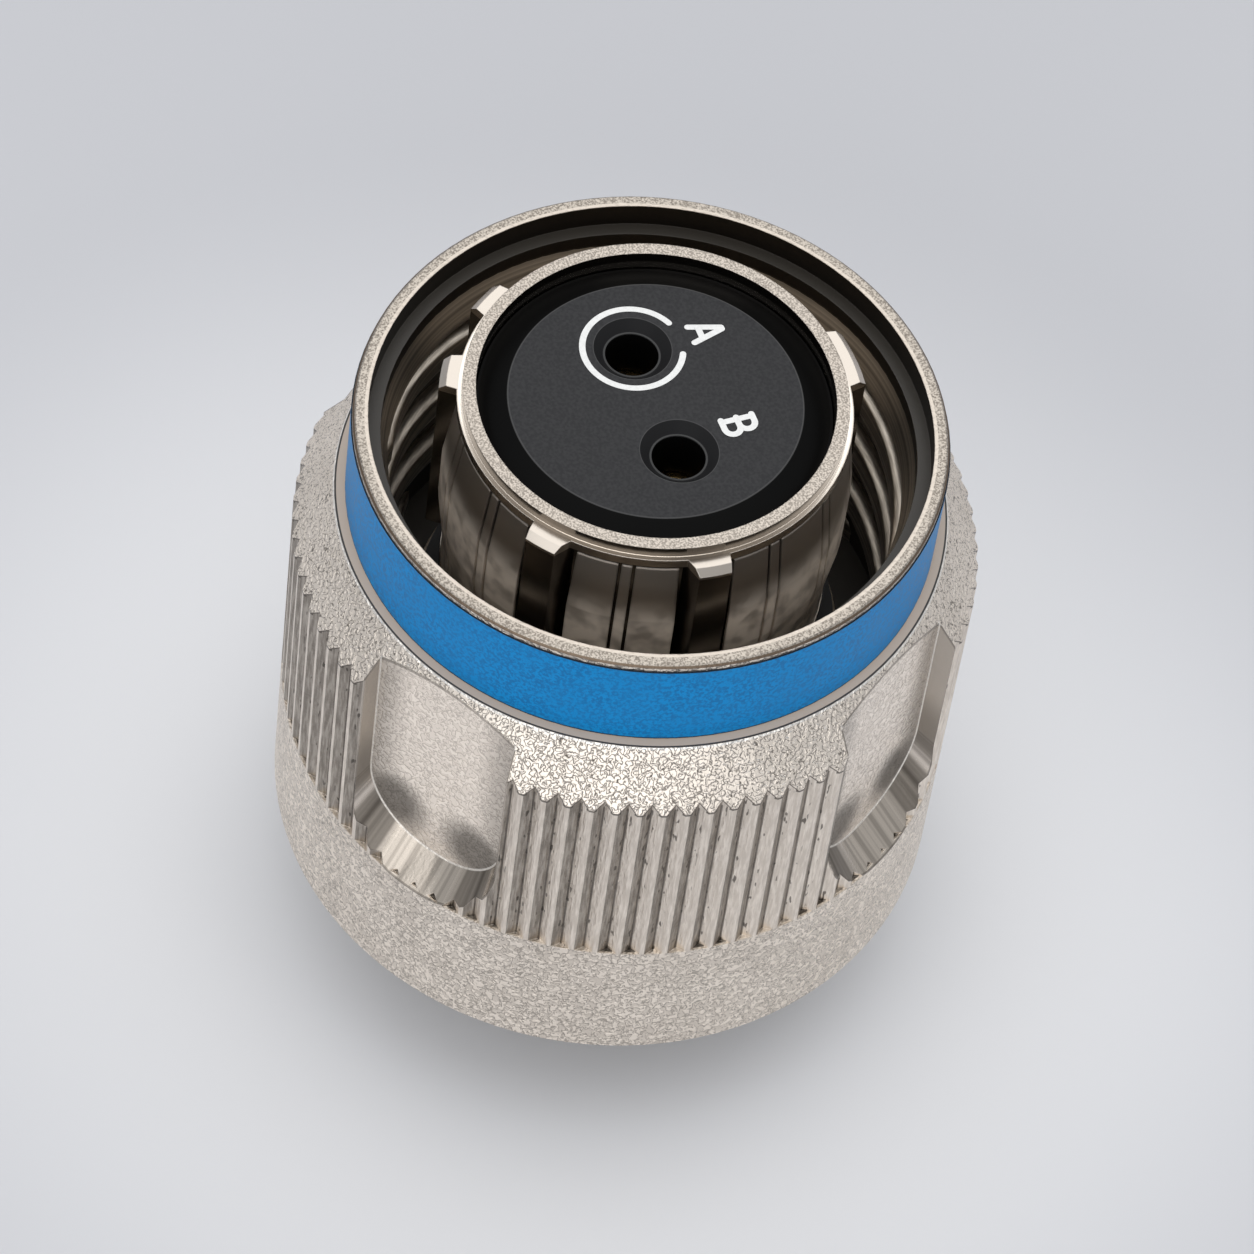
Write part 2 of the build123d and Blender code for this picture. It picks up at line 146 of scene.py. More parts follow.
# Camera, as the photograph was taken
VIEW_AZIMUTH = math.radians(63.1)
VIEW_ELEVATION = math.radians(53.309)
VIEW_ROLL = math.radians(8.454)
VIEW_DISTANCE = 220.0
VIEW_PAN = 0.168
VIEW_RISE = -7.26
FOCAL_PIXELS = 6198.0
IMAGE_PIXELS = 1254.0
SENSOR = 36.0

# Colours, linear
NICKEL_PALE = (0.93, 0.845, 0.75)
NICKEL = (0.7, 0.625, 0.545)
NICKEL_DARK = (0.4, 0.355, 0.31)
NICKEL_SHADE = (0.17, 0.148, 0.125)
# Dark of the painted shade in the knurl's valleys and groove ends and in the nut's bore
NICKEL_DEEP = (0.085, 0.073, 0.061)
# Dark of the knurl's pits, and of the painted shade in the pockets
PIT_AND_SHADE = (0.035, 0.028, 0.022)
SATIN = (1.0, 0.9, 0.79)
# Pale of the painted highlight lines on the cone's front edge and round the pocket floors
LINE = (1.0, 0.96, 0.9)
GRAIN_DARK = (0.28, 0.245, 0.21)
GRAIN_PALE = (0.6, 0.54, 0.47)
LIP_EDGE = (0.2, 0.15, 0.11)
# Darks of the painted shade in the bore's front recess and on its upward steps
RECESS = (0.055, 0.046, 0.037)
STEP = (0.035, 0.03, 0.024)
LEDGE = (0.63, 0.5, 0.39)
LEDGE_EDGE = (0.05, 0.045, 0.04)
NOSE_DARK = (0.3, 0.265, 0.23)
NOSE_PALE = (0.62, 0.555, 0.485)
SLEEVE_HIGHLIGHT = (1.0, 0.88, 0.75)
THREAD_DARK = (0.34, 0.3, 0.255)
THREAD_PALE = (0.7, 0.63, 0.54)
BLUE_DARK = (0.0, 0.15, 0.4)
BLUE = (0.0, 0.245, 0.6)
BLUE_PATCH = (0.003, 0.2, 0.5)
HAIRLINE = (0.01, 0.02, 0.035)
BLACK = (0.003, 0.003, 0.003)
SINK = (0.018, 0.018, 0.019)
CHARCOAL_DARK = (0.022, 0.022, 0.024)
CHARCOAL = (0.033, 0.033, 0.035)
# Pale of the painted highlight lines round the insert's disc, holes and countersinks
DISC_LINE = (0.09, 0.09, 0.09)
PRINT_GREY = (0.82, 0.82, 0.81)
PRINT_WHITE = (0.9, 0.9, 0.89)
FLOOR_NEAR = (0.805, 0.81, 0.835)
FLOOR_FAR = (0.59, 0.595, 0.625)
FLOOR_MOTTLE = (0.5, 0.5, 0.52)
STEEL = (0.5, 0.5, 0.51)
STEEL_STAINED = (0.4, 0.4, 0.41)
GOLD = (0.5, 0.34, 0.14)
GOLD_STAINED = (0.4, 0.26, 0.1)
COPPER = (0.6, 0.36, 0.2)
COPPER_STAINED = (0.48, 0.28, 0.14)
RUBBER_GREY = (0.05, 0.05, 0.052)


class Recipe:
    """A node material being built. Inside it, places are millimetres in the row frame."""

    def __init__(self, name):
        self.material = bpy.data.materials.new(name)
        self.material.use_nodes = True
        self.tree = self.material.node_tree
        self.shader = self.tree.nodes["Principled BSDF"]
        object_place = self.tree.nodes.new("ShaderNodeTexCoord").outputs["Object"]
        scaled = self.tree.nodes.new("ShaderNodeVectorMath")
        scaled.operation = "SCALE"
        scaled.inputs["Scale"].default_value = 1 / MM
        self.tree.links.new(object_place, scaled.inputs[0])
        self.place = scaled.outputs[0]
        self.x, self.y, self.z = self.split(self.place)
        squares = self.plus(self.power(self.x, 2.0), self.power(self.y, 2.0))
        self.radius = self.math("SQRT", squares)
        self.azimuth = self.math("ARCTAN2", self.y, self.x)
        self.depth = self.minus(MOUTH, self.z)
        turned = self.tree.nodes.new("ShaderNodeVectorTransform")
        turned.vector_type = "NORMAL"
        turned.convert_from, turned.convert_to = "WORLD", "OBJECT"
        normal = self.tree.nodes.new("ShaderNodeNewGeometry").outputs["True Normal"]
        self.tree.links.new(normal, turned.inputs[0])
        normal_x, normal_y, self.up = self.split(turned.outputs[0])
        round_about = self.minus(self.times(self.x, normal_y), self.times(self.y, normal_x))
        self.sideways = self.math("DIVIDE", round_about, self.radius)

    def put(self, socket, value):
        if isinstance(value, bpy.types.NodeSocket):
            self.tree.links.new(value, socket)
        elif isinstance(value, tuple):
            socket.default_value = (*value, 1.0)
        else:
            socket.default_value = value

    def split(self, vector):
        node = self.tree.nodes.new("ShaderNodeSeparateXYZ")
        self.tree.links.new(vector, node.inputs[0])
        return node.outputs[0], node.outputs[1], node.outputs[2]

    def vector(self, x, y, z):
        node = self.tree.nodes.new("ShaderNodeCombineXYZ")
        for socket, value in zip(node.inputs, (x, y, z)):
            self.put(socket, value)
        return node.outputs[0]

    def math(self, operation, first, second=0.0):
        node = self.tree.nodes.new("ShaderNodeMath")
        node.operation = operation
        self.put(node.inputs[0], first)
        self.put(node.inputs[1], second)
        return node.outputs[0]

    def plus(self, first, second):
        return self.math("ADD", first, second)

    def minus(self, first, second):
        return self.math("SUBTRACT", first, second)

    def power(self, first, second):
        return self.math("POWER", first, second)

    def times(self, *factors):
        product = factors[0]
        for factor in factors[1:]:
            product = self.math("MULTIPLY", product, factor)
        return product

    def inverse(self, mask):
        return self.minus(1.0, mask)

    def either(self, first, second):
        return self.math("MAXIMUM", first, second)

    def fade(self, value, start, end, low=0.0, high=1.0):
        """Goes smoothly from low, where value is start, to high, where it is end."""
        node = self.tree.nodes.new("ShaderNodeMapRange")
        node.interpolation_type = "SMOOTHSTEP"
        for socket, setting in zip(node.inputs, (value, start, end, low, high)):
            self.put(socket, setting)
        return node.outputs[0]

    def above(self, value, limit, soft=0.01):
        return self.fade(value, limit - soft, limit + soft)

    def below(self, value, limit, soft=0.01):
        return self.fade(value, limit - soft, limit + soft, 1.0, 0.0)

    def within(self, value, low, high, soft=0.01):
        return self.times(self.above(value, low, soft), self.below(value, high, soft))

    def cracks(self, noise, width):
        """Thin curly lines where a noise passes its middle value."""
        distance = self.math("ABSOLUTE", self.minus(noise, 0.5))
        return self.fade(distance, 0.0, width, 1.0, 0.0)

    def noise(self, scale, detail=0.0, roughness=0.5, distortion=0.0, vector=None):
        """Noise with about scale features a millimetre, mostly between 0.3 and 0.7."""
        node = self.tree.nodes.new("ShaderNodeTexNoise")
        self.put(node.inputs["Vector"], self.place if vector is None else vector)
        node.inputs["Scale"].default_value = scale
        node.inputs["Detail"].default_value = detail
        node.inputs["Roughness"].default_value = roughness
        node.inputs["Distortion"].default_value = distortion
        return node.outputs["Fac"]

    def blend(self, factor, first, second):
        """Mix of two numbers."""
        node = self.tree.nodes.new("ShaderNodeMix")
        for socket, value in zip((node.inputs[0], node.inputs[2], node.inputs[3]), (factor, first, second)):
            self.put(socket, value)
        return node.outputs[0]

    def tint(self, factor, first, second):
        """Mix of two colours."""
        node = self.tree.nodes.new("ShaderNodeMix")
        node.data_type = "RGBA"
        for socket, value in zip((node.inputs[0], node.inputs[6], node.inputs[7]), (factor, first, second)):
            self.put(socket, value)
        return node.outputs[2]

    def rounded_edges(self, radius):
        """Normal that looks as if sharp edges had a small radius."""
        node = self.tree.nodes.new("ShaderNodeBevel")
        node.samples = 4
        node.inputs["Radius"].default_value = radius * MM
        return node.outputs[0]

    def bump(self, height, depth, normal=None, strength=1.0):
        """Normal disturbed by a height from 0 to 1, which stands for depth millimetres."""
        node = self.tree.nodes.new("ShaderNodeBump")
        node.inputs["Distance"].default_value = depth * MM
        self.put(node.inputs["Strength"], strength)
        self.put(node.inputs["Height"], height)
        if normal is not None:
            self.put(node.inputs["Normal"], normal)
        return node.outputs[0]

    def finish(self, colour, roughness, normal=None, metallic=0.0, specular=0.5):
        self.put(self.shader.inputs["Base Color"], colour)
        self.put(self.shader.inputs["Roughness"], roughness)
        self.put(self.shader.inputs["Metallic"], metallic)
        self.put(self.shader.inputs["Specular IOR Level"], specular)
        if normal is not None:
            self.put(self.shader.inputs["Normal"], normal)
        return self.material


class Pocket:
    """Where a place lies in the thumb pockets, and the shade and reflections painted there, alike in all
    four.
    """

    def __init__(self, r):
        quarter = math.pi / 2
        turned = r.minus(r.azimuth, math.radians(POCKET_AZIMUTH) - quarter / 2)
        turned = r.minus(r.math("FLOORED_MODULO", turned, quarter), quarter / 2)
        across = r.times(r.radius, r.math("SINE", turned))
        height = r.minus(r.times(r.radius, r.math("COSINE", turned)), POCKET_FLOOR)
        share = r.either(r.math("DIVIDE", height, POCKET_HEIGHT), 0.0)
        widening = (POCKET_MOUTH_WIDTH - POCKET_FLOOR_WIDTH) / 2
        side = r.plus(r.times(share, widening), POCKET_FLOOR_WIDTH / 2 - POCKET_CORNER)
        rear = r.plus(r.times(share, POCKET_REAR_SLOPE), POCKET_REAR - POCKET_REAR_SLOPE - POCKET_CORNER)
        beyond_side = r.minus(r.math("ABSOLUTE", across), side)
        beyond_rear = r.minus(r.depth, rear)
        squares = r.plus(r.power(r.either(beyond_side, 0.0), 2.0), r.power(r.either(beyond_rear, 0.0), 2.0))
        outside = r.minus(r.math("SQRT", squares), POCKET_CORNER)
        behind_ledge = r.above(r.depth, BAND_REAR + 0.02)
        self.floor = r.times(r.within(height, -0.03, 0.03), r.below(outside, 0.0), behind_ledge)
        self.walls = r.times(r.above(height, 0.03), r.below(outside, 0.05), behind_ledge)
        self.line = r.times(r.within(height, -0.05, 0.04), r.within(outside, -0.04, 0.03), behind_ledge)
        self.all = r.either(self.floor, self.walls)
        # Painted shade on the walls: by the angle round the rear corners and the length along the sides
        turn = r.math("ABSOLUTE", r.math("ARCTAN2", across, r.either(beyond_rear, 0.0)))
        ahead = r.either(r.times(beyond_rear, -1.0), 0.0)
        corner = r.times(r.fade(turn, 0.45, 0.72), r.fade(turn, 1.08, 1.2, 1.0, 0.0))
        flanks = r.times(r.fade(turn, 1.24, 1.36), r.fade(ahead, 0.9, 3.0, 0.85, 0.5))
        swirls = r.noise(1.0, detail=2.0, vector=r.vector(r.times(turn, 6.0), 0.0, 0.0))
        self.wall_painted_shade = r.times(r.fade(swirls, 0.3, 0.7, 0.7, 0.9), r.either(corner, flanks))
        # Painted shade on the floor: a dark spot in each rear corner and a dark edge along each side
        off_spot = r.power(r.minus(beyond_side, SHADE_SPOT_SIDEWAYS), 2.0)
        off_spot = r.plus(off_spot, r.power(r.minus(beyond_rear, SHADE_SPOT_REARWARD), 2.0))
        spot = r.fade(r.math("SQRT", off_spot), SHADE_SPOT_FULL, SHADE_SPOT_END, 1.0, 0.0)
        beside = r.times(r.fade(turn, 1.3, 1.5, 0.0, 0.4), r.fade(outside, -1.6, -0.3))
        self.floor_painted_shade = r.either(r.times(spot, 0.8), beside)
        # Painted reflections on the walls: dark streaks fanning round the rear corners
        fan = r.vector(r.times(turn, 9.0), 0.0, 0.0)
        self.streaks = r.fade(r.noise(1.0, detail=2.0, vector=fan), 0.4, 0.65)


def nickel_nut():
    """Nickel of the nut: crackled skin, streaked knurl, satin pockets, turned bore darkened as painted
    shade.
    """
    r = Recipe("nickel_nut")
    pocket = Pocket(r)
    slope = (KNURL_RADIUS - LEDGE_RADIUS) / CONE_LENGTH
    envelope = r.plus(LEDGE_RADIUS, r.times(r.minus(r.depth, BAND_REAR), slope))
    sunk = r.minus(r.math("MINIMUM", envelope, KNURL_RADIUS), r.radius)
    outer = r.above(r.radius, BAND_RADIUS)
    skin = r.times(outer, r.inverse(pocket.all))
    in_knurl = r.within(r.depth, CONE_REAR + 0.03, KNURL_REAR)
    groove = r.times(r.above(sunk, 0.035), r.within(r.depth, BAND_REAR + 0.02, KNURL_REAR + 0.03))
    groove = r.times(r.either(groove, in_knurl), skin)
    cone = r.times(r.within(r.depth, BAND_REAR + 0.02, CONE_REAR), r.inverse(groove), skin)
    bore = r.times(r.below(r.radius, MOUTH_RADIUS + 0.03), r.above(r.depth, 0.03))
    ledge = r.times(r.within(r.depth, BAND_REAR - 0.02, BAND_REAR + 0.015), outer)
    rim = r.below(r.depth, 0.13)
    # Patterns
    patches = r.noise(0.4, detail=1.0)
    swirl = r.blend(cone, r.noise(5.5, distortion=0.8), r.noise(7.5, distortion=0.5))
    worms = r.fade(swirl, 0.35, 0.65)
    cracks = r.cracks(swirl, r.blend(cone, 0.09, 0.06))
    specks = r.below(r.noise(4.5, detail=1.0), 0.3, 0.03)
    along = r.vector(r.times(r.azimuth, KNURL_RADIUS), r.times(r.depth, 0.1), r.radius)
    streaks = r.noise(10.0, detail=2.0, roughness=0.6, vector=along)
    stretched = r.vector(r.times(r.azimuth, KNURL_RADIUS), r.times(r.depth, 0.25), r.radius)
    pits = r.below(r.noise(7.0, detail=1.0, vector=stretched), 0.33, 0.03)
    pits = r.times(pits, groove, r.above(sunk, 0.11, 0.02))
    # Colour
    colour = r.tint(r.fade(patches, 0.35, 0.65, 0.25, 0.0), NICKEL_PALE, NICKEL)
    colour = r.tint(r.times(r.inverse(worms), r.inverse(cone), 0.22), colour, NICKEL_SHADE)
    colour = r.tint(r.times(cracks, r.blend(cone, 0.55, 0.8)), colour, NICKEL_SHADE)
    colour = r.tint(r.times(specks, r.fade(cone, 0.0, 1.0, 0.3, 0.8)), colour, NICKEL_SHADE)
    # Painted highlight: a pale line along the cone's front edge, behind the ledge
    front_line = r.within(r.depth, BAND_REAR + 0.015, BAND_REAR + 0.09, 0.015)
    colour = r.tint(r.times(front_line, outer), colour, LINE)
    rim_grain = r.fade(r.noise(14.0, detail=1.0), 0.35, 0.62)
    colour = r.tint(rim, colour, r.tint(rim_grain, GRAIN_DARK, GRAIN_PALE))
    # Painted highlight: a paler line round the rim's inner edge
    colour = r.tint(r.times(rim, r.below(r.radius, MOUTH_RADIUS + 0.13)), colour, NICKEL)
    colour = r.tint(r.times(rim, r.above(r.radius, LIP_RADIUS - 0.07)), colour, LIP_EDGE)
    colour = r.tint(groove, colour, r.tint(r.fade(streaks, 0.35, 0.75), NICKEL, NICKEL_PALE))
    # Painted shade: one flank of each knurl tooth darker, the same all round
    shaded_flank = r.times(r.fade(r.sideways, 0.1, 0.4), r.fade(streaks, 0.3, 0.7, 0.85, 0.6))
    colour = r.tint(r.times(groove, shaded_flank), colour, NICKEL_SHADE)
    # Painted shade in the knurl's valleys and at the front and rear ends of its grooves
    valley = r.times(groove, r.above(sunk, KNURL_DEPTH - 0.025))
    colour = r.tint(r.times(valley, 0.75), colour, NICKEL_DEEP)
    tip = r.times(groove, r.below(sunk, 0.075), r.below(r.depth, CONE_REAR + 0.12, 0.03))
    end = r.times(groove, r.above(sunk, 0.1), r.above(r.depth, KNURL_REAR - 0.08), r.fade(patches, 0.4, 0.6))
    colour = r.tint(r.times(r.either(tip, end), 0.85), colour, NICKEL_DEEP)
    colour = r.tint(r.times(pits, 0.75), colour, PIT_AND_SHADE)
    satin = r.tint(pocket.walls, r.tint(r.times(worms, 0.3), SATIN, NICKEL), NICKEL)
    satin = r.tint(r.times(cracks, pocket.floor, 0.6), satin, NICKEL_DARK)
    # Painted shade and reflections in the pockets: dark floor spots and edges, wall streaks and corners
    satin = r.tint(r.times(pocket.floor, pocket.floor_painted_shade), satin, PIT_AND_SHADE)
    satin = r.tint(r.times(pocket.walls, pocket.streaks, 0.5), satin, NICKEL_SHADE)
    satin = r.tint(r.times(pocket.walls, pocket.wall_painted_shade, 0.96), satin, PIT_AND_SHADE)
    satin = r.tint(r.times(r.below(sunk, 0.05), 0.6), satin, NICKEL_SHADE)
    colour = r.tint(pocket.all, colour, satin)
    # Painted highlight: a pale line where each pocket's floor meets its walls
    colour = r.tint(r.times(pocket.line, 0.5), colour, LINE)
    # Painted shade: the bore dark, darker in its front recess and darkest on its upward steps
    bore_shade = r.tint(r.below(r.depth, LEAD_IN_FRONT), NICKEL_DEEP, RECESS)
    step = r.times(bore, r.above(r.up, 0.5, 0.1))
    colour = r.tint(bore, colour, r.tint(step, bore_shade, STEP))
    colour = r.tint(ledge, colour, LEDGE)
    colour = r.tint(r.times(ledge, r.above(r.radius, LEDGE_RADIUS - 0.06)), colour, LEDGE_EDGE)
    # Finish
    rough = r.blend(groove, 0.42, 0.36)
    rough = r.blend(pocket.all, rough, 0.26)
    rough = r.blend(bore, rough, 0.42)
    rough = r.blend(ledge, rough, 0.6)
    # Where pocket shade is painted, the surface is also matt and nearly without specular
    stain_and_painted_shade = r.either(r.times(pocket.walls, pocket.wall_painted_shade), r.times(pocket.floor, pocket.floor_painted_shade))
    matt = r.either(r.times(pocket.floor, 0.4), stain_and_painted_shade)
    metallic = r.times(r.inverse(ledge), r.inverse(step), r.inverse(matt))
    # Relief
    lift = r.blend(r.times(groove, 0.85), worms, streaks)
    smooth = r.either(r.times(pocket.floor, 0.6), r.times(pocket.walls, 0.95))
    smooth = r.either(smooth, r.either(ledge, r.times(bore, 0.97)))
    weight = r.times(r.inverse(smooth), r.inverse(r.times(rim, 0.8)))
    normal = r.bump(lift, 0.045, r.rounded_edges(0.05), weight)
    return r.finish(colour, rough, normal, metallic, r.blend(stain_and_painted_shade, 0.5, 0.02))


def nickel_shell():
    """Shell nickel: painted light where it faces up, painted shade on the barrel's polished sides."""
    r = Recipe("nickel_shell")
    grain = r.noise(6.0, detail=2.0, roughness=0.6)
    nose = r.times(r.above(r.z, NOSE_TOP - 0.05), r.above(r.up, 0.7, 0.1))
    # Painted light and shade: pale upward faces and ring side, dimmer beyond the nose; dark barrel sides
    dimmed_beyond_nose = r.times(r.above(r.radius, NOSE_RADIUS), 0.5)
    painted_lit_faces = r.either(r.above(r.up, 0.4, 0.2), r.within(r.z, RING_REAR_LEVEL, RING_FRONT_LEVEL))
    colour = r.tint(painted_lit_faces, NICKEL_SHADE, NICKEL_PALE)
    colour = r.tint(r.times(painted_lit_faces, dimmed_beyond_nose), colour, NICKEL_DARK)
    fine = r.noise(14.0, detail=1.0)
    colour = r.tint(nose, colour, r.tint(r.fade(fine, 0.37, 0.64), NOSE_DARK, NOSE_PALE))
    rough = r.blend(nose, 0.2, r.fade(grain, 0.3, 0.7, 0.28, 0.4))
    normal = r.bump(grain, 0.02, r.rounded_edges(0.04), r.blend(nose, 0.03, 0.4))
    return r.finish(colour, rough, normal, 1.0)


def rolled_metal(name, colour, stain_and_painted_shade, roughness, rounding=0.03):
    """Rolled or turned metal with a little staining."""
    r = Recipe(name)
    grain = r.noise(9.0, detail=2.0)
    stain_and_sheen = r.noise(0.9, detail=3.0)
    shade = r.tint(r.fade(stain_and_sheen, 0.35, 0.7), colour, stain_and_painted_shade)
    rough = r.fade(grain, 0.3, 0.7, roughness * 0.85, roughness * 1.2)
    normal = r.bump(grain, 0.003, r.rounded_edges(rounding), 0.5)
    return r.finish(shade, rough, normal, 1.0)


def sleeve_metal():
    """Polished sleeve, dark as painted shade, with a pale dull band round its bulge as painted highlight."""
    r = Recipe("sleeve_metal")
    stain_and_sheen = r.noise(1.1, detail=2.0)
    # Painted shade and highlight: dark nickel, with a pale, less metallic band round the bulge
    highlight_band = r.times(r.fade(r.depth, SLEEVE_HIGHLIGHT_FROM, SLEEVE_HIGHLIGHT_MIDDLE), r.fade(stain_and_sheen, 0.3, 0.6, 0.5, 1.0))
    colour = r.tint(highlight_band, NICKEL_DARK, SLEEVE_HIGHLIGHT)
    normal = r.bump(stain_and_sheen, 0.02, r.rounded_edges(0.12), 0.5)
    return r.finish(colour, 0.4, normal, r.blend(highlight_band, 1.0, 0.15))


def thread_metal():
    """Satin nickel of the coupling thread, with turning marks along the ridges."""
    r = Recipe("thread_metal")
    marks = r.noise(7.0, detail=2.0, vector=r.vector(0.0, r.radius, r.z))
    colour = r.tint(r.fade(marks, 0.3, 0.7), THREAD_DARK, THREAD_PALE)
    normal = r.bump(marks, 0.008, None, 0.6)
    return r.finish(colour, 0.42, normal, 1.0)


def band_ink():
    """Blue ink with a fine speckle and a dark hairline at each edge."""
    r = Recipe("band_ink")
    speckle = r.noise(7.0, detail=2.0, roughness=0.6)
    patches = r.noise(0.6, detail=2.0)
    colour = r.tint(r.fade(speckle, 0.36, 0.62), BLUE_DARK, BLUE)
    colour = r.tint(r.fade(patches, 0.35, 0.65, 0.0, 0.35), colour, BLUE_PATCH)
    hairline = r.either(r.below(r.depth, BAND_FRONT + 0.03), r.above(r.depth, BAND_REAR - 0.05))
    colour = r.tint(hairline, colour, HAIRLINE)
    normal = r.bump(speckle, 0.008, None, 0.6)
    return r.finish(colour, r.fade(speckle, 0.3, 0.7, 0.35, 0.5), normal, specular=0.15)


def insert_plastic():
    """Matt charcoal disc inside a glossy black rim."""
    r = Recipe("insert_plastic")
    dust = r.noise(8.0, detail=2.0)
    face = r.times(r.below(r.radius, DISC_RADIUS), r.above(r.z, FACE - 0.01, 0.005))
    side = r.minus(r.math("ABSOLUTE", r.x), CAVITY_OFFSET)
    from_hole = r.math("SQRT", r.plus(r.power(side, 2.0), r.power(r.y, 2.0)))
    sink = r.within(from_hole, ENTRY_RADIUS, COUNTERSINK_RADIUS)
    # Painted highlights: thin pale lines round the disc's edge, the entry holes and the countersinks
    rings = r.within(r.radius, DISC_RADIUS - 0.02, DISC_RADIUS + 0.03)
    rings = r.either(rings, r.within(from_hole, ENTRY_RADIUS, ENTRY_RADIUS + 0.07))
    rings = r.times(r.either(rings, r.within(from_hole, COUNTERSINK_RADIUS, COUNTERSINK_RADIUS + 0.02)), 0.7)
    near_face = r.above(r.z, FACE - 0.4)
    charcoal = r.tint(r.fade(dust, 0.3, 0.7), CHARCOAL_DARK, CHARCOAL)
    colour = r.tint(face, BLACK, charcoal)
    colour = r.tint(r.times(sink, near_face), colour, SINK)
    colour = r.tint(r.times(rings, near_face), colour, DISC_LINE)
    rough = r.blend(face, 0.35, 0.55)
    normal = r.bump(dust, 0.006, r.rounded_edges(0.03), r.blend(face, 0.2, 0.7))
    return r.finish(colour, rough, normal, specular=r.blend(face, 0.05, 0.25))


def rubber(name, colour):
    """Matt rubber."""
    r = Recipe(name)
    dust = r.noise(6.0, detail=3.0)
    pale = tuple(1.25 * channel for channel in colour)
    shade = r.tint(r.fade(dust, 0.3, 0.7), colour, pale)
    return r.finish(shade, r.fade(dust, 0.3, 0.7, 0.5, 0.7), r.bump(dust, 0.01, None, 0.5))


def marking_ink():
    """White print."""
    r = Recipe("marking_ink")
    speckle = r.noise(9.0, detail=2.0)
    colour = r.tint(r.fade(speckle, 0.3, 0.7), PRINT_GREY, PRINT_WHITE)
    return r.finish(colour, 0.5)


def floor_paint():
    """Pale grey floor, paler round the object as a painted pool of light."""
    r = Recipe("floor_paint")
    glow = r.fade(r.radius, GLOW_INNER, GLOW_OUTER, 1.0, 0.0)
    mottle = r.noise(0.02, detail=2.0)
    colour = r.tint(glow, FLOOR_FAR, FLOOR_NEAR)
    colour = r.tint(r.fade(mottle, 0.3, 0.7, 0.0, 0.05), colour, FLOOR_MOTTLE)
    return r.finish(colour, 0.9, specular=0.1)


def make_piece(name, vertices, faces, material, body, smooth=True):
    """Mesh from corners in millimetres, riding on a body."""
    mesh = bpy.data.meshes.new(name)
    mesh.from_pydata([Vector(vertex) * MM for vertex in vertices], [], faces)
    mesh.update()
    mesh.polygons.foreach_set("use_smooth", [smooth] * len(mesh.polygons))
    mesh.materials.append(material)
    piece = bpy.data.objects.new(name, mesh)
    bpy.context.scene.collection.objects.link(piece)
    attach(piece, body)
    return piece


def ridge_profile():
    """Section of one thread ridge with rounded crest corners, as (rise, axial) pairs."""
    height = THREAD_ROOT_RADIUS - THREAD_CREST_RADIUS
    corners = [(0.0, -THREAD_ROOT_WIDTH / 2)]
    for side in (-1, 1):
        middle = side * (THREAD_CREST_WIDTH / 2 - THREAD_ROUNDING)
        turns = range(0, 91, 30) if side < 0 else range(90, -1, -30)
        for turn in turns:
            angle = math.radians(turn)
            rise = height - THREAD_ROUNDING * (1 - math.sin(angle))
            corners.append((rise, middle + side * THREAD_ROUNDING * math.cos(angle)))
    corners.append((0.0, THREAD_ROOT_WIDTH / 2))
    return corners


def make_coupling_thread(material):
    """Ridges of the multi-start thread inside the nut, fading out at both ends."""
    profile = ridge_profile()
    lead = THREAD_PITCH * THREAD_STARTS
    vertices, faces = [], []
    for start in range(THREAD_STARTS):
        first = len(vertices)
        for step in range(THREAD_STEPS + 1):
            depth = THREAD_REAR - (THREAD_REAR - THREAD_FRONT) * step / THREAD_STEPS
            turn = math.radians(THREAD_AZIMUTH)
            turn += math.tau * ((THREAD_LEVEL - depth) / lead + start / THREAD_STARTS)
            fading = min(1.0, min(step, THREAD_STEPS - step) / THREAD_RUNOUT)
            for rise, axial in profile:
                radius = THREAD_ROOT_RADIUS - rise * fading
                vertices.append((radius * math.cos(turn), radius * math.sin(turn), MOUTH - depth + axial))
        width = len(profile)
        for step in range(THREAD_STEPS):
            for side in range(width):
                a = first + step * width + side
                b = first + step * width + (side + 1) % width
                faces.append((a, a + width, b + width, b))
    return make_piece("coupling_thread_ridges", vertices, faces, material, "nut")


def make_lead_in(material):
    """Conical ring that leads into the coupling thread."""
    section = [(THREAD_ROOT_RADIUS, LEAD_IN_FRONT), (LEAD_IN_RADIUS, LEAD_IN_CREST)]
    section += [(LEAD_IN_RADIUS, LEAD_IN_REAR - LEAD_IN_STEP), (THREAD_ROOT_RADIUS, LEAD_IN_REAR)]
    width = len(section)
    vertices, faces = [], []
    for step in range(THREAD_STEPS):
        turn = math.tau * step / THREAD_STEPS
        for radius, depth in section:
            vertices.append((radius * math.cos(turn), radius * math.sin(turn), MOUTH - depth))
        following = (step + 1) % THREAD_STEPS * width
        for side in range(width):
            a, b = step * width + side, step * width + (side + 1) % width
            faces.append((a, b, following + (side + 1) % width, following + side))
    make_piece("coupling_thread_lead_in", vertices, faces, material, "nut", smooth=False)


def round_cap(centre, offset, steps=8):
    """Half circle that leaves centre + offset and turns clockwise, without its two ends."""
    points = []
    for number in range(1, steps):
        turn = Matrix.Rotation(-math.pi * number / steps, 2)
        points.append(centre + turn @ offset)
    return points


